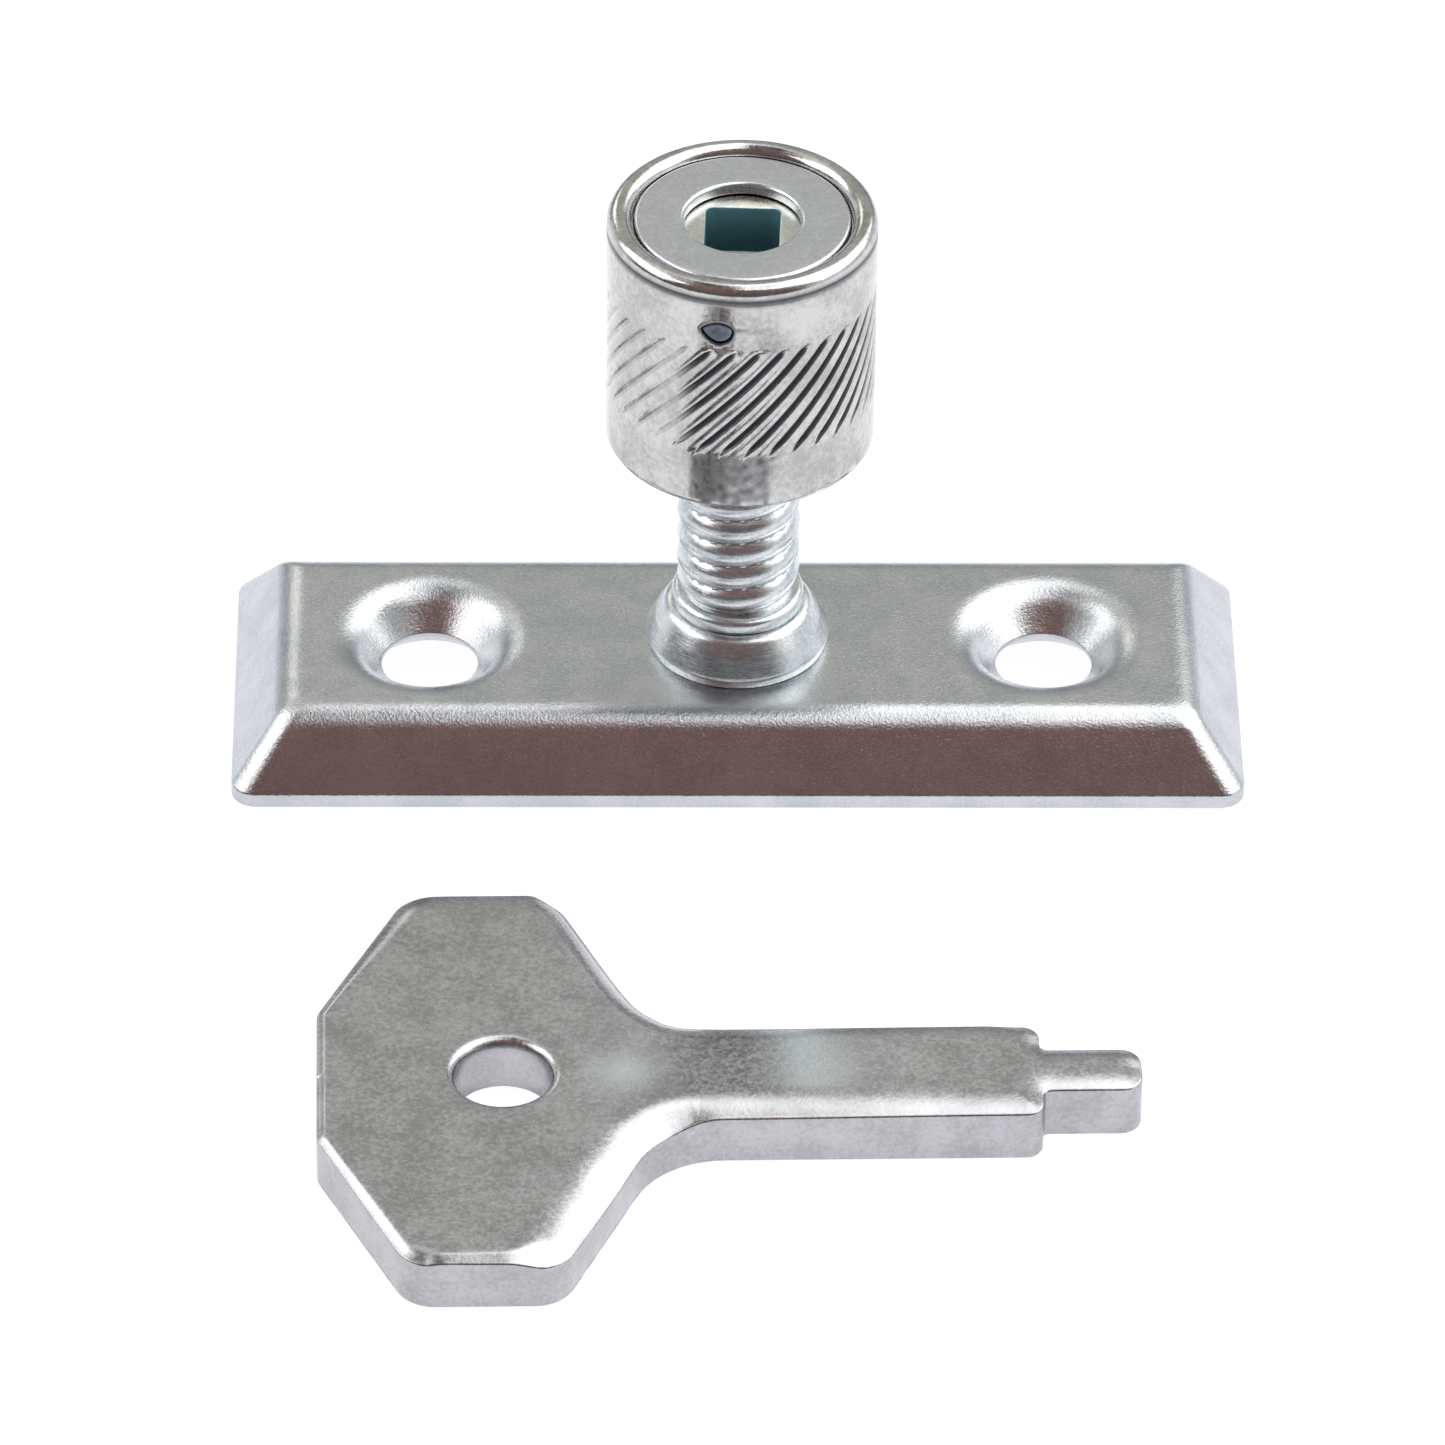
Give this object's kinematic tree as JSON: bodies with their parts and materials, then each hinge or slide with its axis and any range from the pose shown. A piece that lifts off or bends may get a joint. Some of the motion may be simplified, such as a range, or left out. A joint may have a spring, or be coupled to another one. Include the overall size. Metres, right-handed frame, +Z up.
{
  "type": "lockable casement stay peg",
  "caption": "Screw-on base plate with a threaded peg for a window stay's arm, a free-turning knurled barrel with a key-driven lock nut inside, and a flat key.",
  "frame": {"origin": "the peg's axis in the plane of the plate's foot, which rests on the window frame", "axes": "+Z up along the peg, +X along the plate, +Y across the plate and away from the key"},
  "size_m": [0.054, 0.0603, 0.032],
  "materials": {
    "plate_zinc": "zinc plated, satin, faint mottling",
    "peg_zinc": "zinc plated over turned steel, bright",
    "barrel_zinc": "zinc plated, satin, dark knurl grooves",
    "disc_zinc": "zinc plated, satin",
    "nut_zinc": "zinc plated, bluish passivate",
    "pin_steel": "dull ground steel",
    "spring_steel": "bright spring steel",
    "key_zinc": "zinc plated, satin, rolled stamped edges"
  },
  "bodies": {
    "plate": {"base_plate": "plate_zinc", "threaded_peg": "peg_zinc"},
    "carriage": {"wave_washer": "spring_steel"},
    "nut": {"lock_nut": "nut_zinc"},
    "barrel": {"barrel_shell": "barrel_zinc", "cover_disc": "disc_zinc", "retaining_pin": "pin_steel"},
    "key": {"key": "key_zinc"}
  },
  "joints": [
    {"name": "barrel_travel", "type": "slide", "parent": "plate", "child": "carriage", "axis": [0, 0, 1], "range_m": [-0.00451, 0.00151]},
    {"name": "nut_turn", "type": "hinge", "parent": "carriage", "child": "nut", "pos_m": [0, 0, 0.02], "axis": [0, 0, 1], "range_deg": [-1080, 360]},
    {"name": "barrel_spin", "type": "hinge", "parent": "carriage", "child": "barrel", "pos_m": [0, 0, 0.02], "axis": [0, 0, 1], "continuous": true},
    {"name": "key_lift", "type": "slide", "parent": "plate", "child": "key", "axis": [0, 0, 1], "range_m": [0, 0.04]}
  ],
  "couplings": [
    {"joint": "barrel_travel", "follows": "nut_turn", "m_per_rad": 0.00023873}
  ]
}
